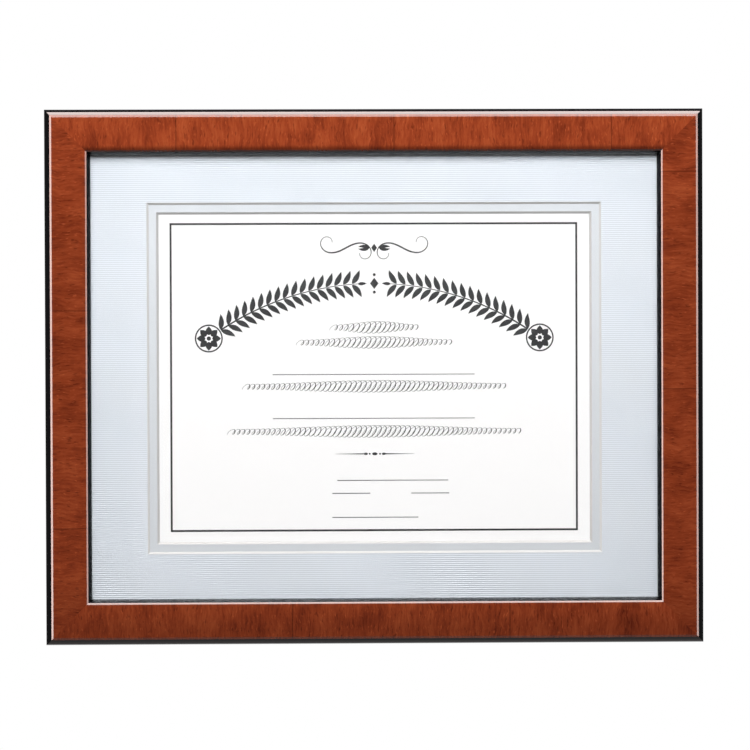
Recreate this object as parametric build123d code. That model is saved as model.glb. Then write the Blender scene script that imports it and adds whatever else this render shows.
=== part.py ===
from build123d import *
import math
import os

# Wall-hung certificate frame, in millimetres. X runs to the right, Z up, and the front faces -Y.
# The origin is where the wall nail leaves the wall, under the centre notch of the top hanger.

# Sheets in the rabbet, from the glazing back to the backing board
glazing_width = 355.6
glazing_height = 279.4
glazing_thickness = 2.0
mat_thickness = 1.4
mat_bevel = 1.4
outer_window_width = 278.4
outer_window_height = 214.4
inner_window_width = 266.4
inner_window_height = 202.4
tape_thickness = 0.1
tape_width = 6.0
tape_inset = 12.0
certificate_width = 279.4
certificate_height = 215.9
certificate_thickness = 0.2
filler_thickness = 2.0
backing_thickness = 2.5

# Moulding section, from the sight edge outwards and from the back forwards
moulding_width = 28.3
rabbet_width = 3.7
rabbet_play = 0.8
lip_edge = 1.2
inner_shoulder_width = 1.9
inner_shoulder_drop = 6.2
inner_bevel_width = 0.95
inner_bevel_drop = 0.82
outer_bevel_width = 1.3
outer_bevel_drop = 1.12
outer_shoulder_width = 3.7
outer_shoulder_drop = 6.8
shoulder_bulge = 0.5
core_edge_radius = 0.5

# Cross-banded veneer, laid in leaves from the first end of each stick
veneer_thickness = 0.6
veneer_arris_radius = 0.4
veneer_leaf_width = 134.0
veneer_first_seam = {"bottom": 152.0, "left": 124.0, "top": 57.0, "right": 157.0}

# V-nails across the mitres
corner_nail_stations = (11.0, 21.0)
corner_nail_leg = 5.0
corner_nail_half_angle = 50.0
corner_nail_thickness = 0.5
corner_nail_height = 7.0
corner_nail_clearance = 0.05

# Turn buttons and their screws
button_spacing_x = 190.0
button_spacing_z = 150.0
button_setback = 7.0
button_reach = 9.0
button_thickness = 0.8
button_pivot_radius = 5.5
button_tip_radius = 4.0
button_tab_length = 3.2
button_tab_rise = 1.4
button_bend_radius = 1.2
button_gap = 0.1
screw_head_radius = 2.9
screw_head_height = 1.6
screw_head_rim = 0.5
screw_shank_radius = 1.45
screw_length = 12.0
screw_point_length = 3.0
screw_clearance = 0.05
screw_recess_width = 0.75
screw_recess_length = 3.2
screw_recess_depth = 0.9

# Sawtooth hangers and their nails
hanger_setback = 6.0
hanger_width = 10.0
hanger_thickness = 0.8
hanger_bridge = 28.0
hanger_ramp = 2.2
hanger_tab = 7.0
hanger_rise = 1.6
hanger_bend_radius = 0.9
tooth_pitch = 3.0
tooth_depth = 1.8
hanger_nail_radius = 0.7
hanger_nail_length = 9.0
hanger_nail_point_length = 1.5
hanger_nail_head_radius = 1.6
hanger_nail_head_height = 0.6
hanger_nail_clearance = 0.05

# Wall bumpers
bumper_radius = 4.8
bumper_thickness = 3.5
bumper_edge_radius = 0.8
bumper_inset = 45.0
bumper_setback = 12.5

# Sizes that follow from the above
sight_width = glazing_width + 2 * (rabbet_play - rabbet_width)
sight_height = glazing_height + 2 * (rabbet_play - rabbet_width)
outer_width = sight_width + 2 * moulding_width
outer_height = sight_height + 2 * moulding_width
filler_back = backing_thickness
certificate_back = filler_back + filler_thickness
inner_mat_back = certificate_back + certificate_thickness
tape_back = inner_mat_back + mat_thickness
outer_mat_back = tape_back + tape_thickness
glazing_back = outer_mat_back + mat_thickness
rabbet_depth = glazing_back + glazing_thickness
lip_front = rabbet_depth + lip_edge
inner_shoulder_top = lip_front + inner_shoulder_drop
moulding_depth = inner_shoulder_top + inner_bevel_drop
outer_shoulder_top = moulding_depth - outer_bevel_drop
outer_side_height = outer_shoulder_top - outer_shoulder_drop
button_pivot_offset = rabbet_width + button_setback
button_tip_distance = button_setback + rabbet_play + button_reach
hanger_nail_station = hanger_bridge / 2 + hanger_ramp + hanger_tab / 2
hanger_offset = moulding_width - hanger_setback - hanger_width / 2
hang_height = outer_height / 2 - hanger_setback - hanger_width + tooth_depth

# Each side of the frame is the bottom one turned about Y by this angle
side_turn = {"bottom": 0.0, "left": 90.0, "top": 180.0, "right": -90.0}
side_length = {"bottom": outer_width, "left": outer_height, "top": outer_width, "right": outer_height}
side_sight = {"bottom": sight_height, "left": sight_width, "top": sight_height, "right": sight_width}
stick_name = {"bottom": "rail_bottom", "left": "stile_left", "top": "rail_top", "right": "stile_right"}
hanger_side = {"sawtooth_hanger_top": "top", "sawtooth_hanger_side": "right"}

# The back of the moulding: drawn points are (x, z), and positive depth runs into the frame
back = Plane.XZ.offset(bumper_thickness)


def turned(side, shape):
    """Turn a shape that was built for the bottom of the frame round to another side."""
    return Rot(0, side_turn[side], 0) * shape


def centred_pair(spacing):
    """Two stations along a stick, the same distance either side of its middle."""
    return (-spacing / 2, spacing / 2)


# Moulding sticks and veneer


def veneer_line(drop):
    """Points across the veneered face from the outer bevel to the inner one, lowered by drop."""
    outer = moulding_width - outer_shoulder_width
    inner = inner_shoulder_width
    return [
        (outer, outer_shoulder_top - drop),
        (outer - outer_bevel_width, moulding_depth - drop),
        (inner + inner_bevel_width, moulding_depth - drop),
        (inner, inner_shoulder_top - drop),
    ]


def nearest_corner(section, point):
    """The corner of a section that lies at a point."""
    return section.vertices().sort_by_distance((*point, 0))[0]


def core_section():
    """Black core: rabbet, flat back and outer side, a rounded shoulder on each edge, softened corners."""
    seat = veneer_line(veneer_thickness)
    face = veneer_line(0)
    outer_side = (moulding_width, outer_side_height)
    back_corner = (moulding_width, 0)
    sight_edge = (0, lip_front)
    outer_shoulder = SagittaArc(face[0], outer_side, shoulder_bulge)
    inner_shoulder = SagittaArc(sight_edge, face[-1], shoulder_bulge)
    seat_line = Polyline(face[0], *seat, face[-1])
    rabbet = Polyline(
        sight_edge,
        (0, rabbet_depth),
        (rabbet_width, rabbet_depth),
        (rabbet_width, 0),
        back_corner,
        outer_side,
    )
    section = make_face([outer_shoulder, *seat_line.edges(), inner_shoulder, *rabbet.edges()])
    soft_corners = [nearest_corner(section, point) for point in (sight_edge, back_corner, outer_side)]
    return fillet(soft_corners, core_edge_radius)


def veneer_section():
    """Veneer over the flat and both bevels, rounded where it turns down into each bevel."""
    points = veneer_line(0) + veneer_line(veneer_thickness)[::-1]
    section = make_face(Polyline(*points, close=True).edges())
    arrises = [nearest_corner(section, point) for point in veneer_line(0)[1:3]]
    return fillet(arrises, veneer_arris_radius)


def mitred(section, side):
    """Run a section along one side of the frame and cut its ends at the mitres."""
    length = side_length[side]
    sight_half = side_sight[side] / 2
    across = Plane((0, -bumper_thickness, -sight_half), x_dir=(0, 0, -1), z_dir=(-1, 0, 0))
    run = extrude(across * section, length / 2, both=True)
    short = length / 2 - 2 * moulding_width
    long = length / 2 + moulding_width
    top = moulding_width - sight_half
    bottom = -sight_half - 2 * moulding_width
    trapezium = Polyline((-short, top), (short, top), (long, bottom), (-long, bottom), close=True)
    plan = Plane.XZ * make_face(trapezium.edges())
    return turned(side, run & extrude(plan, 2 * (moulding_depth + bumper_thickness), both=True))


def veneer_leaves(side):
    """The veneer of one side, cut square across at each leaf seam."""
    length = side_length[side]
    reach = 2 * (outer_height + moulding_depth)
    seams = [-length / 2]
    seam = veneer_first_seam[side] - length / 2
    while seam < length / 2 - moulding_width:
        seams.append(seam)
        seam += veneer_leaf_width
    seams.append(length / 2)
    band = mitred(veneer_section(), side)
    leaves = []
    for start, end in zip(seams, seams[1:]):
        cutter = Pos((start + end) / 2, 0, 0) * Box(end - start, reach, reach)
        leaves += (band & turned(side, cutter)).solids()
    return leaves


# V-nails


def corner_nail_plan(clearance):
    """A chevron with its point at the origin and its legs spread about +X."""
    leg = Rectangle(
        corner_nail_leg + clearance,
        corner_nail_thickness + 2 * clearance,
        align=(Align.MIN, Align.CENTER),
    )
    return Rot(0, 0, corner_nail_half_angle) * leg + Rot(0, 0, -corner_nail_half_angle) * leg


def corner_nails(clearance):
    """V-nails in all four mitres, or the slots that they cut when a clearance is given."""
    nails = []
    for right in (-1, 1):
        for up in (-1, 1):
            aim = math.degrees(math.atan2(up, right))
            for station in corner_nail_stations:
                place = Pos(right * (sight_width / 2 + station), up * (sight_height / 2 + station), 0)
                plan = back * (place * Rot(0, 0, aim) * corner_nail_plan(clearance))
                nails.append(extrude(plan, corner_nail_height + clearance))
    return nails


# Fasteners, built with the back of the moulding at zero and their points at positive Z


def pointed_pin(radius, length, point_length, start):
    """Half outline of a round shank that starts at the given height and ends in a point."""
    return [(radius, start), (radius, length - point_length), (0, length)]


def revolved(outline, *arcs):
    """Turn a half outline of (radius, height) points, with any arcs, about the Z axis."""
    edges = [*Polyline(*outline).edges(), *arcs]
    return revolve(Plane.XZ * make_face(edges), axis=Axis.Z)


def button_screw():
    """Pan-head wood screw with a cross recess."""
    under = -(2 * button_gap + button_thickness)
    rim = (screw_head_radius, under - screw_head_rim)
    crown = (0, under - screw_head_height)
    outline = [rim, (screw_head_radius, under)]
    outline += pointed_pin(screw_shank_radius, screw_length, screw_point_length, under)
    outline += [crown]
    dome = TangentArc(crown, rim, tangent=(1, 0))
    recess = Box(screw_recess_width, screw_recess_length, 2 * screw_recess_depth)
    cross = Pos(0, 0, crown[1]) * (recess + Rot(0, 0, 90) * recess)
    return revolved(outline, dome) - cross


def screw_pilot():
    """Hole for a turn button's screw."""
    radius = screw_shank_radius + screw_clearance
    length = screw_length + screw_clearance
    outline = [(0, 0)] + pointed_pin(radius, length, screw_point_length, 0) + [(0, 0)]
    return revolved(outline)


def hanger_nail():
    """Flat-headed nail through a tab of a hanger."""
    under = -hanger_thickness
    top = under - hanger_nail_head_height
    outline = [(0, top), (hanger_nail_head_radius, top), (hanger_nail_head_radius, under)]
    outline += pointed_pin(hanger_nail_radius, hanger_nail_length, hanger_nail_point_length, under)
    return revolved(outline + [(0, top)])


def hanger_nail_hole(start):
    """Hole for a hanger's nail, from the given height inwards."""
    radius = hanger_nail_radius + hanger_nail_clearance
    length = hanger_nail_length + hanger_nail_clearance
    outline = [(0, start)] + pointed_pin(radius, length, hanger_nail_point_length, start) + [(0, start)]
    return revolved(outline)


# Back hardware


def turn_button():
    """Stamped button that pivots at the origin and points along +X, its tip bent up as a thumb tab."""
    middle = -(button_gap + button_thickness / 2)
    end = button_tip_distance
    path = FilletPolyline(
        (-2 * button_pivot_radius, middle),
        (end - button_tab_length, middle),
        (end + button_tab_length, middle - 2 * button_tab_rise),
        radius=button_bend_radius,
    )
    strip = extrude(Plane.XZ * trace(path, button_thickness), 2 * button_pivot_radius, both=True)
    circles = Circle(button_pivot_radius) + Pos(end - button_tip_radius, 0) * Circle(button_tip_radius)
    outline = extrude(make_hull(circles.edges()), 4 * (button_thickness + button_tab_rise), both=True)
    hole = Cylinder(screw_shank_radius + screw_clearance, 4 * (button_thickness + button_gap))
    return (strip & outline) - hole


def sawtooth_hanger():
    """Strip centred on the origin, with two nailed tabs and a raised bridge toothed along its lower edge."""
    middle = -hanger_thickness / 2
    raised = middle - hanger_rise
    half = hanger_bridge / 2
    points = [
        (-half - hanger_ramp - hanger_tab, middle),
        (-half - hanger_ramp, middle),
        (-half, raised),
        (half, raised),
        (half + hanger_ramp, middle),
        (half + hanger_ramp + hanger_tab, middle),
    ]
    strip_face = trace(FilletPolyline(*points, radius=hanger_bend_radius), hanger_thickness)
    hanger = extrude(Plane.XZ * strip_face, hanger_width / 2, both=True)
    edge = -hanger_width / 2
    tooth = Polyline(
        (-tooth_pitch / 2, edge),
        (0, edge + tooth_depth),
        (tooth_pitch / 2, edge),
        (0, edge - tooth_depth),
        close=True,
    )
    notch = extrude(make_face(tooth.edges()), 4 * (hanger_rise + hanger_thickness), both=True)
    pairs = math.floor((half - tooth_pitch / 2) / tooth_pitch)
    for step in range(-pairs, pairs + 1):
        hanger -= Pos(step * tooth_pitch, 0, 0) * notch
    for station in centred_pair(2 * hanger_nail_station):
        hanger -= Pos(station, 0, 0) * hanger_nail_hole(-2 * hanger_thickness)
    return hanger


def bumper():
    """Rubber button with a rounded rim and a flat wall face."""
    puck = Pos(0, 0, -bumper_thickness / 2) * Cylinder(bumper_radius, bumper_thickness)
    wall_rim = puck.edges().filter_by(GeomType.CIRCLE).sort_by(Axis.Z)[0]
    return fillet(wall_rim, bumper_edge_radius)


def on_back(side, along, offset, shape, aim=0.0):
    """Set a back-mounted shape at a place along a side, offset outwards from the sight edge."""
    place = Pos(along, -(side_sight[side] / 2 + offset), 0) * Rot(0, 0, aim)
    return turned(side, back * (place * shape))


def button_stations(side):
    """Places of the two turn buttons along one side."""
    return centred_pair(button_spacing_x if side in ("bottom", "top") else button_spacing_z)


def button_name(side, along):
    """Name a turn button after its side and its place on that side, as seen from the front."""
    middle = Vector(along, 0, 0).rotate(Axis.Y, side_turn[side])
    if side in ("bottom", "top"):
        return f"turn_button_{side}_{'right' if middle.X > 0 else 'left'}"
    return f"turn_button_{side}_{'upper' if middle.Z > 0 else 'lower'}"


# Sheets


def sheet(width, height, thickness, sheet_back):
    """A flat sheet at a depth from the back of the moulding, standing on the bottom rabbet."""
    face = Pos(0, -rabbet_play) * Rectangle(width, height)
    return extrude(back.offset(sheet_back) * face, thickness)


def mat(window_width, window_height, mat_back):
    """A mat board with a bevelled window that opens towards the front."""
    front_width = window_width + 2 * mat_bevel
    front_height = window_height + 2 * mat_bevel
    narrow = back.offset(mat_back) * (Pos(0, -rabbet_play) * Rectangle(window_width, window_height))
    front = back.offset(mat_back + mat_thickness)
    wide = front * (Pos(0, -rabbet_play) * Rectangle(front_width, front_height))
    window = loft([narrow, wide])
    return sheet(glazing_width, glazing_height, mat_thickness, mat_back) - window


def mat_tape():
    """Four strips of double-sided tape between the mats."""
    reach_x = glazing_width / 2 - tape_inset
    reach_z = glazing_height / 2 - tape_inset
    strips = []
    for sign in (-1, 1):
        across = Pos(0, sign * reach_z) * Rectangle(2 * reach_x - 2 * tape_width, tape_width)
        upright = Pos(sign * reach_x, 0) * Rectangle(tape_width, 2 * reach_z - 2 * tape_width)
        for strip in (across, upright):
            strips.append(extrude(back.offset(tape_back) * (Pos(0, -rabbet_play) * strip), tape_thickness))
    return strips


# Assembly

nodes = {}
nail_slots = corner_nails(corner_nail_clearance)
nodes["corner_nails"] = corner_nails(0)
nodes["turn_button_screws"] = []
nodes["hanger_nails"] = []
nodes["wall_bumpers"] = []

for side, stick in stick_name.items():
    core = mitred(core_section(), side)
    for slot in nail_slots:
        core -= slot
    for along in button_stations(side):
        core -= on_back(side, along, button_pivot_offset, screw_pilot())
        nodes[button_name(side, along)] = on_back(side, along, button_pivot_offset, turn_button(), aim=90.0)
        nodes["turn_button_screws"].append(on_back(side, along, button_pivot_offset, button_screw()))
    for hanger, hung_side in hanger_side.items():
        if hung_side == side:
            # The teeth point to the middle of the frame, which is up when built at the bottom
            nodes[hanger] = on_back(side, 0, hanger_offset, sawtooth_hanger(), aim=180.0)
            for along in centred_pair(2 * hanger_nail_station):
                core -= on_back(side, along, hanger_offset, hanger_nail_hole(0))
                nodes["hanger_nails"].append(on_back(side, along, hanger_offset, hanger_nail()))
    if side in ("bottom", "top"):
        for along in centred_pair(outer_width - 2 * bumper_inset):
            nodes["wall_bumpers"].append(on_back(side, along, moulding_width - bumper_setback, bumper()))
    nodes[stick] = core
    nodes[f"veneer_{side}"] = veneer_leaves(side)

nodes["glazing"] = sheet(glazing_width, glazing_height, glazing_thickness, glazing_back)
nodes["outer_mat"] = mat(outer_window_width, outer_window_height, outer_mat_back)
nodes["mat_tape"] = mat_tape()
nodes["inner_mat"] = mat(inner_window_width, inner_window_height, inner_mat_back)
nodes["certificate"] = sheet(certificate_width, certificate_height, certificate_thickness, certificate_back)
nodes["filler_board"] = sheet(glazing_width, glazing_height, filler_thickness, filler_back)
nodes["backing_board"] = sheet(glazing_width, glazing_height, backing_thickness, 0)

os.makedirs("parts", exist_ok=True)
for name, shape in nodes.items():
    pieces = shape if isinstance(shape, list) else [shape]
    solids = [solid for piece in pieces for solid in piece.solids()]
    hung = [Pos(0, 0, -hang_height) * solid for solid in solids]
    export_step(hung[0] if len(hung) == 1 else Compound(hung), f"parts/{name}.step")
    print(name, len(hung))

print("outer size", outer_width, outer_height, moulding_depth + bumper_thickness)
print("hang height above the middle", hang_height)
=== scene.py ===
import math

import bmesh
import bpy
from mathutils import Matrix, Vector


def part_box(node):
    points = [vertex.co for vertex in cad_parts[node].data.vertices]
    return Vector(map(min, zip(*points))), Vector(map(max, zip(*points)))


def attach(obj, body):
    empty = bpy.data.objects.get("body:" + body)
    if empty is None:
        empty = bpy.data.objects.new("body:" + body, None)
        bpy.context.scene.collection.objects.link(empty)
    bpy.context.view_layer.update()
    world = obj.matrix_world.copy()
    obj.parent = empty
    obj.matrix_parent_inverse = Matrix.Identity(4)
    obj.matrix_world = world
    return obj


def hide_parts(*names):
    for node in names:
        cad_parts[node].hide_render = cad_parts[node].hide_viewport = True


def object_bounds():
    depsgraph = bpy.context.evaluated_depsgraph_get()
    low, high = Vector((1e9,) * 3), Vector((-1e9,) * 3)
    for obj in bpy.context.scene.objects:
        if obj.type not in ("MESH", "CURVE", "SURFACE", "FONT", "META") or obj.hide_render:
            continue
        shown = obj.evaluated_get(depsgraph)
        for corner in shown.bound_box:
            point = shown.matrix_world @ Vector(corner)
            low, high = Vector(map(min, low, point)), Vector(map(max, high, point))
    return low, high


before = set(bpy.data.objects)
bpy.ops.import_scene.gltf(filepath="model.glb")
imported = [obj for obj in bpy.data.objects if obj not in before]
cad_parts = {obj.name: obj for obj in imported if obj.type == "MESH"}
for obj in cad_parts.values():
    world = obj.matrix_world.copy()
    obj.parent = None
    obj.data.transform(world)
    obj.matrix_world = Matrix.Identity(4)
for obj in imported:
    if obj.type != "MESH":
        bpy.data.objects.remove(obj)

# Finishes, ribbed mat and print of a wall-hung certificate frame. The front faces -Y, and Z is up.
# Materials, print and names that end in _MM are in millimetres. Everything else is in metres.

MM = 0.001
cad_low, cad_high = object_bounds()
MIDDLE_Z = (cad_low.z + cad_high.z) / 2

# Camera, fitted to the corners of the frame and of the mat windows
CAMERA_PLACE = (-0.0402, -2.0126, -0.1232)
CAMERA_TURN_DEG = (89.2335, 0.195, -1.16)
CAMERA_LENS_MM = 155.35
CAMERA_SENSOR_MM = 36.0
CAMERA_CLIP = 0.05

# Floor and surroundings. A reach says where a value starts and where it stops changing.
FLOOR_DROP = 0.8
FLOOR_HALF = 1.5
FLOOR_COLOUR = (0.22, 0.22, 0.22)
FLOOR_GLOW_NEAR = 0.72
FLOOR_GLOW_REACH = (0.3, 1.5)
FLOOR_BACKDROP_REACH = (0.9, 1.4)
AMBIENT = 0.15
STUDIO_DARK = 0.04
BACKDROP_EDGE = (0.88, 0.96)

# Whites of the lamps and the backdrop
PLAIN_WHITE = (1.0, 1.0, 1.0)
WARM_WHITE = (1.0, 0.90, 0.86)
PINK_WHITE = (1.0, 0.84, 0.80)
COOL_WHITE = (0.95, 0.98, 1.0)
STRIP_WHITE = (1.0, 0.84, 0.79)

# Moulding: half of the sight opening, the reach of the shoulder beside it, the depths at which
# the finish changes, and the heights of its bumps
SIGHT_HALF_MM = (174.9, 136.8)
SIGHT_SHOULDER_MM = (3.0, 6.0)
SHOULDER_FOOT_MM = (-13.6, -13.0)
MOULDING_BACK_MM = (-3.75, -3.55)
LACQUER_PEEL_MM = 0.001
BACK_GRAIN_MM = 0.07

# Veneer leaves: the seams along each side, and rows of two heights in millimetres with the tones
# of the wood at them. These tones are painted light and shade: the stiles lighter towards the top
# and darker towards the bottom, the bottom rail darker towards its lower edge, and the top rail
# lighter, with painted shade along its inner edge. The line of a seam fades out between two
# distances from it.
VENEER_SEAMS_MM = {
    "top": (-121.8, 12.2, 146.2),
    "bottom": (-51.2, 82.8),
    "left": (-243.8, -109.8),
    "right": (-159.0, -25.0),
}
VENEER_PAINTED_LIGHT = {
    "top": ((-11.0, -7.6, 0.55, 1.40),),
    "bottom": ((-308.0, -288.0, 0.83, 1.12),),
    "left": ((-75.0, 0.0, 1.07, 1.22), (-300.0, -265.0, 0.80, 1.0)),
    "right": ((-75.0, 0.0, 1.05, 1.24), (-300.0, -265.0, 0.80, 1.0)),
}
SEAM_LINE_MM = (0.20, 0.55)
SEAM_SHADE = 0.47
SEAM_TONE = 0.3
NO_SEAM_MM = 100.0

# Painted light and shade on the veneer's bevels: tones of the bevels that face down and up, and
# what of the normal tells them apart
BEVEL_FACING = (-0.5, 0.5)
FLAT_FACING = (0.85, 0.97)
VENEER_BEVEL_PAINTED_SHADING = {
    "top": (0.5, 0.5),
    "bottom": (1.1, 0.5),
    "left": (0.85, 0.85),
    "right": (0.85, 0.85),
}

# Wood grain: features per millimetre along the stick, across it and from leaf to leaf. The leaves
# lie so far apart in the noise that each has a grain of its own.
GRAIN_SWAY = (0.045, 0.070, 1)
GRAIN_FIGURE = (0.09, 0.045, 1)
GRAIN_STREAK = (0.80, 0.10, 1)
GRAIN_PORES = (1.30, 0.22, 1)
GRAIN_FLECKS = (1.20, 0.28, 3)
GRAIN_SWAY_MM = 2.6
LEAF_OFFSET = 41.7
FIGURE_SHARE = 0.75
STREAK_SHARE = 0.80
SHADE_OFFSET = -0.275
PORE_LEVELS = (0.63, 0.71)
PORE_STRENGTH = 0.50
PORE_TONE = 0.45
FLECK_LEVELS = (0.64, 0.74)
FLECK_STRENGTH = 0.45
FLECK_TONE = 1.4
VENEER_DARK = (0.105, 0.0138, 0.0040)
VENEER_MIDDLE = (0.207, 0.0330, 0.0091)
VENEER_LIGHT = (0.295, 0.0575, 0.0172)
VENEER_STOPS = ((0.22, VENEER_DARK), (0.50, VENEER_MIDDLE), (0.80, VENEER_LIGHT))
VENEER_PEEL_MM = 0.006
VENEER_GRAIN_MM = 0.03

# Outer mat: window at the back of the board, bevel, and ribs that run along X
MAT_WINDOW_MM = (278.4, 214.4)
MAT_BEVEL_MM = 1.4
MAT_PEARL = 0.48
RIBS_IN_WINDOW = 174
RIB_STEPS = 8
RIB_RELIEF_MM = 0.10
# Painted shade in the grooves between the ribs
RIB_GROOVE_PAINTED_SHADE = 0.36
RIB_CLEARANCE_MM = 0.02
SHARP_DEG = 40

# Hardboard: pitch of the screen that it was pressed on
SCREEN_PITCH_MM = 1.3

# Print, measured from the middle of the frame
INK_HEIGHT_MM = 0.03
INK_LEAST_MM = 0.02
BORDER_MIDDLE_MM = -0.3
BORDER_HALF_MM = 125.5
BORDER_TOP_MM = 94.55
BORDER_BOTTOM_MM = -95.2
BORDER_LINE_MM = 1.22
FLOURISH_HEIGHT_MM = 79.6
ARCH_MIDDLE_MM = (0.0, -114.6)
ARCH_RADIUS_MM = 172.2
ARCH_HALF_DEG = 36.5
LOOP_HEIGHT_MM = 7.5
DIVIDER_HEIGHT_MM = -47.9

# Lines of loops: height, half of the length, and number of loops
LOOP_LINES = ((30.4, 26.5, 17), (21.1, 47.3, 31), (-6.1, 80.7, 53), (-34.0, 90.0, 59))

# Rules: start, end and height
LONG_RULES_MM = ((-63, 62, 1.3), (-63, 62, -25.9))
LONG_RULE_LINE_MM = 0.45
SHORT_RULES_MM = (
    (-23.3, 45.4, -64.3),
    (-26.4, -2.9, -72.3),
    (22.5, 46.0, -72.3),
    (-26.4, 26.8, -87.2),
)
SHORT_RULE_LINE_MM = 0.5


class Nodes:
    """The nodes of a material or of the world, with short ways to add the usual ones."""

    def __init__(self, owner):
        owner.use_nodes = True
        self.nodes = owner.node_tree.nodes
        self.links = owner.node_tree.links
        self.nodes.clear()

    def feed(self, socket, value):
        """Link a socket to an output, or set its own value."""
        if isinstance(value, bpy.types.NodeSocket):
            self.links.new(value, socket)
        elif socket.type == "RGBA":
            socket.default_value = (*value, 1)
        else:
            socket.default_value = value

    def add(self, kind, inputs, output=0, **settings):
        """Add a node and return one of its outputs."""
        node = self.nodes.new("ShaderNode" + kind)
        for name, value in settings.items():
            setattr(node, name, value)
        for key, value in inputs.items():
            self.feed(node.inputs[key], value)
        return node.outputs[output]

    def math(self, operation, *values, clamp=False):
        return self.add("Math", dict(enumerate(values)), operation=operation, use_clamp=clamp)

    def axes(self, vector):
        """The three numbers of a vector, by axis name."""
        node = self.nodes.new("ShaderNodeSeparateXYZ")
        self.feed(node.inputs[0], vector)
        return {axis: node.outputs[axis] for axis in "XYZ"}

    def range(self, value, low, high, to_low=0.0, to_high=1.0, smooth=True):
        """Map a value between two limits to another range."""
        inputs = {"Value": value, "From Min": low, "From Max": high}
        inputs.update({"To Min": to_low, "To Max": to_high})
        kind = "SMOOTHSTEP" if smooth else "LINEAR"
        return self.add("MapRange", inputs, interpolation_type=kind)


class Surface(Nodes):
    """A material around one Principled shader, whose places and scales are in millimetres."""

    def __init__(self, name, **sockets):
        self.material = bpy.data.materials.new(name)
        super().__init__(self.material)
        self.shader = self.nodes.new("ShaderNodeBsdfPrincipled")
        self.output = self.nodes.new("ShaderNodeOutputMaterial")
        self.links.new(self.shader.outputs[0], self.output.inputs["Surface"])
        self.set(**sockets)

    def set(self, **sockets):
        """Give values or links to the shader's sockets, named with _ for a space."""
        for name, value in sockets.items():
            self.feed(self.shader.inputs[name.replace("_", " ")], value)

    def place(self):
        """Where the point is on the object."""
        where = self.add("TexCoord", {}, output="Object")
        return self.add("VectorMath", {0: where, "Scale": 1 / MM}, operation="SCALE")

    def normal(self):
        """The numbers of the surface's normal, by axis name."""
        return self.axes(self.add("TexCoord", {}, output="Normal"))

    def vector(self, x, y, z):
        return self.add("CombineXYZ", {"X": x, "Y": y, "Z": z})

    def sight_side(self, where):
        """1 on the inner shoulder of the moulding, beside the glass, and 0 outside it."""
        axes = self.axes(where)
        reach = 0.0
        for axis, middle, half in zip("XZ", (0.0, MIDDLE_Z / MM), SIGHT_HALF_MM):
            away = self.math("ABSOLUTE", self.math("SUBTRACT", axes[axis], middle))
            reach = self.math("MAXIMUM", reach, self.math("SUBTRACT", away, half))
        return self.range(reach, *SIGHT_SHOULDER_MM, 1.0, 0.0)

    def noise(self, vector, scale, detail, roughness=0.5, distortion=0.0):
        """Noise from 0 to 1, with one scale for all axes or one for each."""
        scales = (scale,) * 3 if isinstance(scale, float) else scale
        stretched = self.add("VectorMath", {0: vector, 1: scales}, operation="MULTIPLY")
        inputs = {"Vector": stretched, "Scale": 1, "Detail": detail}
        inputs.update({"Roughness": roughness, "Distortion": distortion})
        return self.add("TexNoise", inputs)

    def mix(self, factor, first, second):
        """Mix two colours."""
        return self.add("Mix", {0: factor, 6: first, 7: second}, output=2, data_type="RGBA")

    def ramp(self, value, *stops):
        """Colours at places from 0 to 1, blended between."""
        node = self.nodes.new("ShaderNodeValToRGB")
        elements = node.color_ramp.elements
        while len(elements) < len(stops):
            elements.new(1.0)
        for element, (place, colour) in zip(elements, stops):
            element.position = place
            element.color = (*colour, 1)
        self.feed(node.inputs[0], value)
        return node.outputs[0]

    def bump(self, height, depth_mm):
        """A normal from a height map, where 1 is that many millimetres."""
        return self.add("Bump", {"Height": height, "Distance": depth_mm * MM, "Strength": 1.0})


def scaled(colour, factor):
    """A lighter or darker colour."""
    return tuple(factor * part for part in colour)


# Materials


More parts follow.
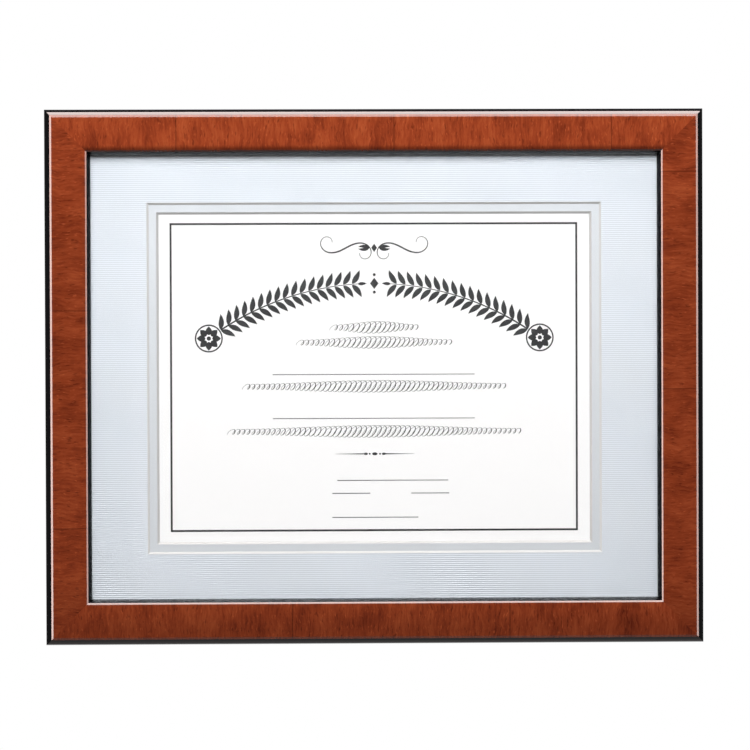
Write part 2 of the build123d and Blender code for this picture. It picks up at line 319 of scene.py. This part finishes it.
def veneer(side):
    """Cross-banded mahogany under gloss lacquer.

    Its fibres and pores run across the stick, with a ribbon figure and seams between the leaves.
    """
    s = Surface(f"mahogany_{side}", Roughness=0.6, Specular_IOR_Level=0.0)
    s.set(Coat_Weight=1.0, Coat_Roughness=0.045, Coat_IOR=1.7)
    place = s.axes(s.place())
    along, across = (place[axis] for axis in ("XZ" if side in ("top", "bottom") else "ZX"))
    leaf = 0.0
    seam_distance = NO_SEAM_MM
    for seam in VENEER_SEAMS_MM[side]:
        leaf = s.math("ADD", leaf, s.math("GREATER_THAN", along, seam))
        away = s.math("ABSOLUTE", s.math("SUBTRACT", along, seam))
        seam_distance = s.math("MINIMUM", seam_distance, away)
    layer = s.math("MULTIPLY", leaf, LEAF_OFFSET)
    grain = s.vector(along, across, layer)
    sway = s.noise(grain, GRAIN_SWAY, detail=2)
    sway = s.range(sway, 0, 1, -GRAIN_SWAY_MM, GRAIN_SWAY_MM, smooth=False)
    wavy = s.vector(s.math("ADD", along, sway), across, layer)
    figure = s.noise(wavy, GRAIN_FIGURE, detail=3)
    streak = s.noise(wavy, GRAIN_STREAK, detail=4, roughness=0.65)
    pores = s.range(s.noise(wavy, GRAIN_PORES, detail=1), *PORE_LEVELS)
    flecks = s.range(s.noise(wavy, GRAIN_FLECKS, detail=1), *FLECK_LEVELS)
    shade = s.math("MULTIPLY_ADD", streak, STREAK_SHARE, SHADE_OFFSET)
    shade = s.math("MULTIPLY_ADD", figure, FIGURE_SHARE, shade)
    colour = s.ramp(shade, *VENEER_STOPS)
    fleck_share = s.math("MULTIPLY", flecks, FLECK_STRENGTH)
    colour = s.mix(fleck_share, colour, scaled(VENEER_LIGHT, FLECK_TONE))
    pore_share = s.math("MULTIPLY", pores, PORE_STRENGTH)
    colour = s.mix(pore_share, colour, scaled(VENEER_DARK, PORE_TONE))
    seam_line = s.range(seam_distance, *SEAM_LINE_MM, SEAM_SHADE, 0.0)
    colour = s.mix(seam_line, colour, scaled(VENEER_DARK, SEAM_TONE))
    normal = s.normal()
    # Painted shade on the bevels, darker or lighter by whether they face down or up
    bevel_painted_shading = s.range(normal["Z"], *BEVEL_FACING, *VENEER_BEVEL_PAINTED_SHADING[side])
    painted_shading = s.range(s.math("ABSOLUTE", normal["Y"]), *FLAT_FACING, bevel_painted_shading, 1.0)
    # Painted light and shade by height: lighter towards the top, darker towards the bottom and
    # along the top rail's inner edge
    for limits in VENEER_PAINTED_LIGHT[side]:
        painted_shading = s.math("MULTIPLY", painted_shading, s.range(place["Z"], *limits))
    colour = s.add("VectorMath", {0: colour, "Scale": painted_shading}, operation="SCALE")
    peel = s.noise(grain, 0.25, detail=2)
    s.set(Base_Color=colour, Coat_Normal=s.bump(peel, VENEER_PEEL_MM))
    s.set(Normal=s.bump(s.math("SUBTRACT", streak, pores), VENEER_GRAIN_MM))
    return s.material


def black_lacquer(name, inner_gloss, fibre):
    """Black lacquer, gloss on the outer shoulder and rubbed down on the outer edge.

    The back is bare, with matt stain on its grain, whose scales along the axes are in fibre.
    """
    s = Surface(name, Specular_IOR_Level=0.0, Coat_Roughness=0.06, Coat_IOR=1.6)
    where = s.place()
    depth = s.axes(where)["Y"]
    back = s.range(depth, *MOULDING_BACK_MM)
    peel = s.noise(where, 0.35, detail=2)
    grain = s.noise(where, fibre, detail=4, roughness=0.65)
    lacquer = s.mix(peel, (0.0035, 0.0035, 0.0042), (0.0065, 0.0063, 0.0070))
    stain = s.ramp(grain, (0.30, (0.006, 0.005, 0.0045)), (0.70, (0.058, 0.046, 0.037)))
    outer_gloss = s.range(depth, *SHOULDER_FOOT_MM, 0.8, 0.12)
    gloss = s.range(s.sight_side(where), 0, 1, outer_gloss, inner_gloss)
    gloss = s.math("MULTIPLY", gloss, s.range(back, 0, 1, 1.0, 0.0))
    s.set(Base_Color=s.mix(back, lacquer, stain), Coat_Weight=gloss)
    s.set(Roughness=s.range(back, 0, 1, 0.35, 0.75))
    bare = s.math("MULTIPLY", grain, BACK_GRAIN_MM / LACQUER_PEEL_MM)
    height = s.math("MULTIPLY_ADD", back, bare, peel)
    normal = s.bump(height, LACQUER_PEEL_MM)
    s.set(Normal=normal, Coat_Normal=normal)
    return s.material


def clear_glass():
    """Polished glass that lets light through to the mat, green at its cut edges."""
    s = Surface("clear_glass", Transmission_Weight=1.0, IOR=1.5, Roughness=0.0)
    face = s.range(s.math("ABSOLUTE", s.normal()["Y"]), 0.5, 0.9)
    s.set(Base_Color=s.mix(face, (0.45, 0.78, 0.66), (1.0, 1.0, 1.0)))
    clear = s.nodes.new("ShaderNodeBsdfTransparent").outputs[0]
    pane = s.shader.outputs[0]
    for ray in ("Is Diffuse Ray", "Is Glossy Ray", "Is Shadow Ray"):
        pane = s.add("MixShader", {0: s.add("LightPath", {}, output=ray), 1: pane, 2: clear})
    s.links.new(pane, s.output.inputs["Surface"])
    return s.material


def mat_face(name, light, dark):
    """Pearly board with a fine tooth, and its colour, which the caller gives to the shader."""
    s = Surface(name, Roughness=0.54, Metallic=MAT_PEARL)
    where = s.place()
    tooth = s.noise(where, 3.0, detail=3, roughness=0.6)
    cloud = s.noise(where, 0.03, detail=2)
    tint = s.math("MULTIPLY_ADD", tooth, 0.5, s.math("MULTIPLY", cloud, 0.5))
    s.set(Normal=s.bump(tooth, 0.006))
    return s, s.mix(tint, dark, light)


def ribbed_face(front_mm):
    """Face of the outer mat, with painted shade that darkens the grooves between its ribs."""
    s, colour = mat_face("ribbed_mat", light=(0.757, 0.799, 0.849), dark=(0.705, 0.747, 0.798))
    crest = front_mm + RIB_CLEARANCE_MM
    foot = crest + RIB_RELIEF_MM
    # Painted shade: the colour darkens towards the foot of each groove
    groove_painted_shade = s.range(s.axes(s.place())["Y"], crest, foot, 0.0, RIB_GROOVE_PAINTED_SHADE, smooth=False)
    s.set(Base_Color=s.mix(groove_painted_shade, colour, (0.26, 0.27, 0.29)))
    return s.material


def mat_core():
    """White core of a mat board, shown where it is cut."""
    s = Surface("mat_core", Roughness=0.8)
    fibre = s.noise(s.place(), 2.5, detail=4, roughness=0.6)
    s.set(Base_Color=s.mix(fibre, (0.62, 0.62, 0.62), (0.70, 0.70, 0.69)))
    s.set(Normal=s.bump(fibre, 0.05))
    return s.material


def plain_mat():
    """Plain mat: a pearly silver-white face and a white cut edge."""
    s, colour = mat_face("plain_mat", light=(0.676, 0.702, 0.730), dark=(0.629, 0.655, 0.682))
    face = s.range(s.math("ABSOLUTE", s.normal()["Y"]), 0.85, 0.95)
    s.set(Base_Color=s.mix(face, (0.61, 0.61, 0.61), colour))
    return s.material


def paper():
    """Smooth white certificate paper with a faint fibre."""
    s = Surface("certificate_paper", Roughness=0.6)
    fibre = s.noise(s.place(), 1.6, detail=4, roughness=0.65)
    s.set(Base_Color=s.mix(fibre, (0.945, 0.945, 0.945), (0.975, 0.975, 0.972)))
    s.set(Normal=s.bump(fibre, 0.015))
    return s.material


def ink():
    """Black print, a little uneven."""
    s = Surface("black_ink", Roughness=0.45)
    patch = s.noise(s.place(), 1.2, detail=3)
    s.set(Base_Color=s.mix(patch, (0.008, 0.008, 0.009), (0.022, 0.022, 0.024)))
    return s.material


def tape():
    """Milky double-sided tape."""
    s = Surface("adhesive_tape", Roughness=0.4)
    streak = s.noise(s.place(), 0.8, detail=3)
    s.set(Base_Color=s.mix(streak, (0.72, 0.70, 0.62), (0.84, 0.82, 0.75)))
    return s.material


def filler_card():
    """Grey board with flecks of pulp."""
    s = Surface("filler_card", Roughness=0.85)
    where = s.place()
    pulp = s.noise(where, 1.1, detail=5, roughness=0.7)
    fleck = s.range(s.noise(where, (0.9, 0.9, 2.5), detail=1), 0.66, 0.72)
    colour = s.mix(pulp, (0.46, 0.44, 0.41), (0.62, 0.60, 0.56))
    s.set(Base_Color=s.mix(s.math("MULTIPLY", fleck, 0.5), colour, (0.22, 0.20, 0.18)))
    s.set(Normal=s.bump(pulp, 0.05))
    return s.material


def hardboard():
    """Brown hardboard with the print of its pressing screen on the back."""
    s = Surface("hardboard", Roughness=0.62)
    where = s.place()
    axes = s.axes(where)
    pulp = s.noise(where, 0.55, detail=6, roughness=0.72)
    cloud = s.noise(where, 0.02, detail=3)
    fibre = s.range(s.noise(where, (0.35, 0.35, 1.4), detail=2, distortion=1.5), 0.60, 0.70)
    turn = 2 * math.pi / SCREEN_PITCH_MM
    wires = [s.math("SINE", s.math("MULTIPLY", axes[axis], turn)) for axis in "XZ"]
    screen = s.math("MAXIMUM", *wires)
    shade = s.math("MULTIPLY_ADD", pulp, 0.6, s.math("MULTIPLY", cloud, 0.4))
    dark, middle, light = (0.085, 0.040, 0.017), (0.165, 0.084, 0.038), (0.26, 0.145, 0.07)
    colour = s.ramp(shade, (0.3, dark), (0.5, middle), (0.72, light))
    colour = s.mix(s.math("MULTIPLY", fibre, 0.35), colour, (0.33, 0.21, 0.115))
    colour = s.mix(s.range(screen, 0.2, 1.0, 0.0, 0.22), colour, (0.05, 0.024, 0.011))
    height = s.math("SUBTRACT", s.math("MULTIPLY", pulp, 0.8), s.math("MULTIPLY", screen, 0.5))
    s.set(Base_Color=colour, Normal=s.bump(height, 0.10))
    return s.material


def plated(name, bright, dull, roughness):
    """Plated steel with fine rolling lines, cloudy patches and a little tarnish."""
    s = Surface(name, Metallic=1.0)
    where = s.place()
    rolled = s.noise(where, (0.4, 6.0, 9.0), detail=3, roughness=0.6)
    patch = s.noise(where, 0.28, detail=4, roughness=0.6)
    spangle = s.axes(s.add("TexVoronoi", {"Vector": where, "Scale": 0.8}, output="Color"))["X"]
    tarnish = s.range(patch, 0.52, 0.72)
    shade = s.math("MULTIPLY_ADD", spangle, 0.35, s.math("MULTIPLY", rolled, 0.65))
    colour = s.mix(shade, scaled(bright, 0.82), bright)
    s.set(Base_Color=s.mix(s.math("MULTIPLY", tarnish, 0.5), colour, dull))
    rough = s.math("MULTIPLY_ADD", rolled, 0.12, roughness - 0.06)
    s.set(Roughness=s.math("MULTIPLY_ADD", tarnish, 0.12, rough), Normal=s.bump(rolled, 0.012))
    return s.material


def rubber():
    """Matt black rubber with a moulded tooth and a trace of dust."""
    s = Surface("bumper_rubber", Roughness=0.82)
    where = s.place()
    tooth = s.noise(where, 3.5, detail=3)
    dust = s.range(s.noise(where, 0.6, detail=4), 0.50, 0.75, 0.0, 0.35)
    s.set(Base_Color=s.mix(dust, (0.016, 0.016, 0.017), (0.085, 0.082, 0.078)))
    s.set(Normal=s.bump(tooth, 0.05))
    return s.material


def dress(material, *names):
    """Give a material to CAD nodes."""
    for name in names:
        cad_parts[name].material_slots[0].material = material


def new_piece(name, mesh, slot, *materials):
    """A mesh of our own that belongs to the fixed body."""
    piece = bpy.data.objects.new(name, mesh)
    bpy.context.scene.collection.objects.link(piece)
    for material in materials:
        mesh.materials.append(material)
    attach(piece, "frame")
    return piece


def closed_mesh(bm, name):
    """Turn the faces outwards and make a mesh of them."""
    bmesh.ops.recalc_face_normals(bm, faces=bm.faces)
    mesh = bpy.data.meshes.new(name)
    bm.to_mesh(mesh)
    bm.free()
    return mesh


# Ribbed mat


def rib_rows():
    """Rows of the mat: height from its middle, depth of its face, and if the window is there."""
    low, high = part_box("outer_mat")
    half = (high.z - low.z) / 2 / MM
    window_half = MAT_WINDOW_MM[1] / 2 + MAT_BEVEL_MM
    pitch = 2 * window_half / RIBS_IN_WINDOW
    step = pitch / RIB_STEPS
    outside = math.floor((half - window_half) / step)
    inside = RIBS_IN_WINDOW * RIB_STEPS
    heights = [index * step - window_half for index in range(-outside, inside + outside + 1)]
    for height in (-half, *heights, half):
        crest = abs(math.cos(math.pi * (height + window_half) / pitch))
        depth = RIB_CLEARANCE_MM + RIB_RELIEF_MM * (1 - crest)
        yield height, depth, abs(height) < window_half + step / 2


def ribbed_mat():
    """The outer mat with ribs on its face, closed all round, in the place of the plain board."""
    low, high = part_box("outer_mat")
    middle_z = (low.z + high.z) / 2
    half_width = (high.x - low.x) / 2
    thickness = high.y - low.y
    back_x, back_z = (size / 2 * MM for size in MAT_WINDOW_MM)
    bevel = MAT_BEVEL_MM * MM
    bm = bmesh.new()
    rows = []
    for height, depth, in_window in rib_rows():
        z = height * MM
        face_y = low.y + depth * MM
        edge = back_x + bevel - depth * MM
        inner_z = z * back_z / (back_z + bevel) if in_window else z
        front = [(x, face_y, middle_z + z) for x in (-half_width, -edge, edge, half_width)]
        back = [
            (x, low.y + thickness, middle_z + at)
            for x, at in ((-half_width, z), (-back_x, inner_z), (back_x, inner_z), (half_width, z))
        ]
        rows.append(([bm.verts.new(p) for p in front], [bm.verts.new(p) for p in back], in_window))

    def quad(*corners, core=False):
        bm.faces.new(corners).material_index = int(core)

    for (front, back, here), (next_front, next_back, there) in zip(rows, rows[1:]):
        through = here and there
        for column in (0, 2) if through else (0, 1, 2):
            quad(front[column], front[column + 1], next_front[column + 1], next_front[column])
            quad(back[column + 1], back[column], next_back[column], next_back[column + 1])
        for column in (0, 3, 1, 2) if through else (0, 3):
            quad(front[column], next_front[column], next_back[column], back[column], core=True)
    window_rows = [row for row in rows if row[2]]
    for front, back, _ in (window_rows[0], window_rows[-1]):
        quad(front[1], front[2], back[2], back[1], core=True)
    for front, back, _ in (rows[0], rows[-1]):
        for column in range(3):
            quad(front[column], front[column + 1], back[column + 1], back[column], core=True)
    mesh = closed_mesh(bm, "ribbed_mat")
    mesh.shade_smooth()
    mesh.set_sharp_from_angle(angle=math.radians(SHARP_DEG))
    piece = new_piece("ribbed_outer_mat", mesh, "ribbed_mat", ribbed_face(low.y / MM), mat_core())
    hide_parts("outer_mat")


# Print: flat strokes of a pen on the certificate, drawn from the middle of the frame


def polar(heading, length):
    """A step of a given length at a heading in degrees, clockwise from up."""
    angle = math.radians(heading)
    return Vector((math.sin(angle), math.cos(angle))) * length


def scroll_points(length, tilt, turns, mirror):
    """Points of an S-shaped scroll about its middle, which curls in evenly at both ends."""
    steps = 120
    here = Vector((0, 0))
    half = [here]
    for index in range(steps):
        t = (index + 0.5) / steps
        here = here + polar(tilt - 360 * turns * t * t, length / 2 / steps)
        half.append(here)
    points = [-p for p in half[:0:-1]] + half
    return [Vector((mirror * p.x, p.y)) for p in points]


class Pen:
    """Collects strokes into one mesh that lies on the certificate."""

    def __init__(self):
        self.bm = bmesh.new()
        self.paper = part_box("certificate")[0].y

    def corner(self, point, lifted):
        depth = INK_HEIGHT_MM * MM if lifted else 0.0
        return self.bm.verts.new((point.x * MM, self.paper - depth, MIDDLE_Z + point.y * MM))

    def stroke(self, line, width, steps, closed=False):
        """Follow line(t) from 0 to 1, as wide as width(t), and join the ends where it is closed."""
        reach = 0.5 / steps
        first, last = (-reach, 1.0 + reach) if closed else (0.0, 1.0)
        cuts = []
        for index in range(steps if closed else steps + 1):
            t = index / steps
            here = line(t)
            along = (line(min(t + reach, last)) - line(max(t - reach, first))).normalized()
            side = Vector((-along.y, along.x)) * max(width(t), INK_LEAST_MM) / 2
            cut = [self.corner(here + side, True), self.corner(here - side, True)]
            cut += [self.corner(here - side, False), self.corner(here + side, False)]
            cuts.append(cut)
        pairs = list(zip(cuts, cuts[1:]))
        if closed:
            pairs.append((cuts[-1], cuts[0]))
        else:
            self.bm.faces.new(cuts[0])
            self.bm.faces.new(cuts[-1])
        for here, there in pairs:
            for a in range(4):
                b = (a + 1) % 4
                self.bm.faces.new((here[a], here[b], there[b], there[a]))

    def rule(self, start, end, width):
        """A straight line of even width."""
        start, end = Vector(start), Vector(end)
        self.stroke(lambda t: start.lerp(end, t), lambda t: width, steps=1)

    def lozenge(self, middle, half, width):
        """A diamond, half as long along X as given."""
        middle, reach = Vector(middle), Vector((half, 0))
        self.stroke(
            lambda t: middle + reach * (2 * t - 1),
            lambda t: width * (1 - abs(2 * t - 1)),
            steps=2,
        )

    def dot(self, middle, half, width):
        """A disc or an oval, half as long along X as given."""
        middle, reach = Vector(middle), Vector((half, 0))
        self.stroke(
            lambda t: middle - reach * math.cos(math.pi * t),
            lambda t: width * math.sin(math.pi * t),
            steps=12,
        )

    def ring(self, middle, radius, width):
        middle = Vector(middle)
        self.stroke(
            lambda t: middle + polar(360 * t, radius), lambda t: width, steps=40, closed=True
        )

    def leaf(self, base, heading, length, width, bend=0.0):
        """A pointed leaf that leaves its base at a heading, in degrees, and bends as it goes."""
        base = Vector(base)
        belly, fullness = 0.8, 0.9
        self.stroke(
            lambda t: base + polar(heading + bend * t, length * t),
            lambda t: width * math.sin(math.pi * t**belly) ** fullness,
            steps=12,
        )

    def scroll(self, middle, length, tilt, turns, mirror, width):
        """An S-shaped scroll that winds in at both ends."""
        middle = Vector(middle)
        points = scroll_points(length, tilt, turns, mirror)
        steps = len(points) - 1
        end_share, middle_share = 0.35, 0.65

        def line(t):
            index = min(int(t * steps), steps - 1)
            return middle + points[index].lerp(points[index + 1], t * steps - index)

        def taper(t):
            return width * (end_share + middle_share * math.sin(math.pi * t) ** 2)

        self.stroke(line, taper, steps)

    def loops(self, middle, half, height, count):
        """A running line of slanted loops that swells in the middle, thick on the downstrokes."""
        middle = Vector(middle)
        slant, roundness = 0.62, 0.75
        thin, swell = 0.20, 0.42
        end_share, middle_share = 0.42, 0.58
        steps_in_loop = 18

        def size(t):
            return height / 2 * (end_share + middle_share * math.sin(math.pi * t) ** 2)

        def line(t):
            turn = 2 * math.pi * count * t
            rise = -size(t) * math.cos(turn)
            lean = slant * rise - roundness * size(t) * math.sin(turn)
            return middle + Vector((half * (2 * t - 1) + lean, rise))

        def width(t):
            return thin + swell * max(0.0, -math.sin(2 * math.pi * count * t))

        self.stroke(line, width, steps_in_loop * count)


def arch_point(angle, out=0.0):
    """A point of the arch at an angle in degrees from its top."""
    return Vector(ARCH_MIDDLE_MM) + polar(angle, ARCH_RADIUS_MM + out)


def rosette(pen, middle, radius, petals):
    """A ring with petals inside and a dot in the middle."""
    pen.ring(middle, radius, width=0.9)
    for index in range(petals):
        heading = 360 * index / petals
        root = Vector(middle) + polar(heading, 0.25 * radius)
        pen.leaf(root, heading, length=0.66 * radius, width=0.5 * radius)
    pen.dot(middle, half=0.16 * radius, width=0.32 * radius)


def garland(pen):
    """Laurel along an arch, from a rosette at each end up to a lozenge and two dots at the top."""
    leaf_pairs = 17
    leaf_length, leaf_width, leaf_bend = 9.6, 3.3, 14
    leaf_spread = 42
    first, last = 3.4, ARCH_HALF_DEG - 3.0
    first_leaf = 1.2
    for mirror in (-1, 1):
        pen.stroke(
            lambda t, m=mirror: arch_point(m * (first + (last - first) * t)),
            lambda t: 0.35 + 0.65 * t,
            steps=60,
        )
        for index in range(leaf_pairs):
            part = index / (leaf_pairs - 1)
            angle = mirror * (first + first_leaf + (last - first - first_leaf) * part)
            for out in (-1, 1):
                heading = angle - mirror * (90 - leaf_spread * out)
                bend = mirror * leaf_bend * out
                pen.leaf(arch_point(angle, 0.4 * out), heading, leaf_length, leaf_width, bend)
        pen.leaf(arch_point(mirror * first), mirror * (first - 90), length=5.5, width=2.0)
        rosette(pen, arch_point(mirror * ARCH_HALF_DEG), radius=8.2, petals=8)
    pen.lozenge(arch_point(0), half=2.6, width=7.0)
    for out in (-5.4, 5.4):
        pen.dot(arch_point(0, out), half=0.9, width=1.8)


def heading_flourish(pen):
    """Two mirrored scrolls above the arch, with leaves and a lozenge between them."""
    for mirror in (-1, 1):
        middle = (mirror * 17.5, FLOURISH_HEIGHT_MM)
        pen.scroll(middle, length=62, tilt=118, turns=0.85, mirror=mirror, width=1.0)
        for heading, bend in ((62, 24), (118, -24)):
            root = (mirror * 3.0, FLOURISH_HEIGHT_MM)
            pen.leaf(root, mirror * heading, length=7.0, width=2.0, bend=mirror * bend)
    pen.lozenge((0, FLOURISH_HEIGHT_MM), half=1.8, width=5.2)


def divider(pen, height):
    """Tapered line with beads in the middle."""
    start, length = 6.4, 18.1
    for mirror in (-1, 1):
        pen.stroke(
            lambda t, m=mirror: Vector((m * (start + length * t), height)),
            lambda t: 0.75 - 0.6 * t,
            steps=8,
        )
        pen.dot((mirror * 5.6, height), half=1.3, width=1.5)
        pen.dot((mirror * 3.2, height), half=0.6, width=1.1)
    pen.dot((0, height), half=1.7, width=1.8)


def certificate_print():
    """Border, ornaments and rules of a blank certificate."""
    pen = Pen()
    left, right = BORDER_MIDDLE_MM - BORDER_HALF_MM, BORDER_MIDDLE_MM + BORDER_HALF_MM
    overlap = BORDER_LINE_MM / 2
    for height in (BORDER_TOP_MM, BORDER_BOTTOM_MM):
        pen.rule((left - overlap, height), (right + overlap, height), BORDER_LINE_MM)
    for x in (left, right):
        pen.rule((x, BORDER_BOTTOM_MM + overlap), (x, BORDER_TOP_MM - overlap), BORDER_LINE_MM)
    heading_flourish(pen)
    garland(pen)
    for height, half, count in LOOP_LINES:
        pen.loops((0, height), half, LOOP_HEIGHT_MM, count)
    for start, end, height in LONG_RULES_MM:
        pen.rule((start, height), (end, height), LONG_RULE_LINE_MM)
    divider(pen, DIVIDER_HEIGHT_MM)
    for start, end, height in SHORT_RULES_MM:
        pen.rule((start, height), (end, height), SHORT_RULE_LINE_MM)
    mesh = closed_mesh(pen.bm, "certificate_print")
    new_piece("certificate_print", mesh, "certificate_paper", ink())


# Studio


def soft_box(name, place, aim, size, radiance, colour=PLAIN_WHITE):
    """A rectangular lamp of even brightness, aimed at a point."""
    width, height = size
    light = bpy.data.lights.new(name, "AREA")
    light.shape = "RECTANGLE"
    light.color = colour
    light.size = width
    light.size_y = height
    light.energy = radiance * math.pi * width * height
    lamp = bpy.data.objects.new(name, light)
    lamp.location = place
    lamp.visible_camera = False
    lamp.rotation_euler = (Vector(aim) - Vector(place)).to_track_quat("-Z", "Y").to_euler()
    bpy.context.scene.collection.objects.link(lamp)


def lamps():
    """Key and fill above the camera, boxes overhead and behind, and strips for the bevels."""
    middle = (0, 0, MIDDLE_Z)
    soft_box("key", (-0.05, -1.3, 0.72), middle, size=(1.1, 0.6), radiance=8.5)
    soft_box("fill", (0, -2.0, 0.48), middle, size=(1.2, 0.4), radiance=8.6, colour=COOL_WHITE)
    place, aim = (0, 0.24, 0.9), (0, 0.24, 0)
    soft_box("overhead", place, aim, size=(1.1, 0.58), radiance=10.0, colour=PINK_WHITE)
    soft_box("rear", (1.1, 1.3, 0.9), middle, size=(1.0, 0.8), radiance=12.0)
    for name, y, width, radiance in (("back", -0.10, 0.10, 5.2), ("front", -0.30, 0.12, 9.0)):
        place, aim = (0, y, 0.9), (0, y, 0)
        soft_box(f"top_{name}_strip", place, aim, (1.1, width), radiance, WARM_WHITE)
    for side, x, near_wall, near_camera, radiance in (
        ("left", -1.0, -0.08, -0.33, 8.6),
        ("right", 1.0, -0.05, -0.285, 5.2),
    ):
        for name, y, width in (("back", near_wall, 0.045), ("front", near_camera, 0.055)):
            place, aim = (x, y, MIDDLE_Z), (0, y, MIDDLE_Z)
            soft_box(f"{side}_{name}_strip", place, aim, (width, 0.9), radiance, STRIP_WHITE)


def surroundings():
    """White backdrop behind the frame, and a dark room in front of it for reflections."""
    world = bpy.data.worlds.new("studio")
    bpy.context.scene.world = world
    w = Nodes(world)
    direction = w.axes(w.add("TexCoord", {}, output="Generated"))
    reflected = w.range(direction["Y"], *BACKDROP_EDGE, STUDIO_DARK, 1.0, smooth=False)
    strength = AMBIENT
    for ray, value in (
        ("Is Glossy Ray", reflected),
        ("Is Transmission Ray", 1.0),
        ("Is Camera Ray", 1.0),
    ):
        seen = w.add("LightPath", {}, output=ray)
        strength = w.add("Mix", {0: seen, 2: strength, 3: value})
    background = w.add("Background", {"Color": PLAIN_WHITE, "Strength": strength})
    w.links.new(background, w.nodes.new("ShaderNodeOutputWorld").inputs["Surface"])


def floor():
    """Pale floor that keeps the frame's shadow and fades to white further off."""
    bm = bmesh.new()
    bmesh.ops.create_grid(bm, x_segments=1, y_segments=1, size=FLOOR_HALF)
    mesh = bpy.data.meshes.new("floor")
    bm.to_mesh(mesh)
    bm.free()
    ground = bpy.data.objects.new("floor", mesh)
    ground.location.z = cad_low.z - FLOOR_DROP
    bpy.context.scene.collection.objects.link(ground)
    s = Surface("floor", Base_Color=FLOOR_COLOUR, Roughness=0.9)
    where = s.add("TexCoord", {}, output="Object")
    distance = s.add("VectorMath", {0: where}, output="Value", operation="LENGTH")
    glow = s.range(distance, *FLOOR_GLOW_REACH, FLOOR_GLOW_NEAR, 1.0)
    behind = s.range(s.axes(where)["Y"], *FLOOR_BACKDROP_REACH)
    rays = s.nodes.new("ShaderNodeLightPath").outputs
    seen = s.math("MULTIPLY_ADD", rays["Is Glossy Ray"], behind, rays["Is Camera Ray"])
    seen = s.math("ADD", seen, rays["Is Transmission Ray"], clamp=True)
    s.set(Emission_Color=PLAIN_WHITE, Emission_Strength=s.math("MULTIPLY", seen, glow))
    mesh.materials.append(s.material)


def camera():
    data = bpy.data.cameras.new("camera")
    data.lens = CAMERA_LENS_MM
    data.sensor_width = CAMERA_SENSOR_MM
    data.clip_start = CAMERA_CLIP
    view = bpy.data.objects.new("camera", data)
    view.location = CAMERA_PLACE
    view.rotation_euler = [math.radians(turn) for turn in CAMERA_TURN_DEG]
    bpy.context.scene.collection.objects.link(view)
    bpy.context.scene.camera = view


# The scene

zinc = plated("zinc_steel", bright=(0.66, 0.67, 0.69), dull=(0.34, 0.34, 0.34), roughness=0.30)
brass = plated("brass_plate", bright=(0.78, 0.56, 0.25), dull=(0.36, 0.23, 0.09), roughness=0.28)
nails = plated("dull_brass", bright=(0.50, 0.34, 0.15), dull=(0.22, 0.14, 0.06), roughness=0.42)
rails = black_lacquer("black_lacquer_rails", inner_gloss=0.75, fibre=(0.035, 0.9, 0.9))
stiles = black_lacquer("black_lacquer_stiles", inner_gloss=0.2, fibre=(0.9, 0.9, 0.035))
for side in VENEER_SEAMS_MM:
    dress(veneer(side), f"veneer_{side}")
dress(rails, "rail_top", "rail_bottom")
dress(stiles, "stile_left", "stile_right")
dress(clear_glass(), "glazing")
dress(plain_mat(), "inner_mat")
dress(tape(), "mat_tape")
dress(paper(), "certificate")
dress(filler_card(), "filler_board")
dress(hardboard(), "backing_board")
dress(zinc, "corner_nails", *(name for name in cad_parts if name.startswith("turn_button_")))
dress(brass, "sawtooth_hanger_top", "sawtooth_hanger_side")
dress(nails, "hanger_nails")
dress(rubber(), "wall_bumpers")
ribbed_mat()
certificate_print()
lamps()
surroundings()
floor()
camera()
bpy.context.scene.view_settings.view_transform = "Standard"
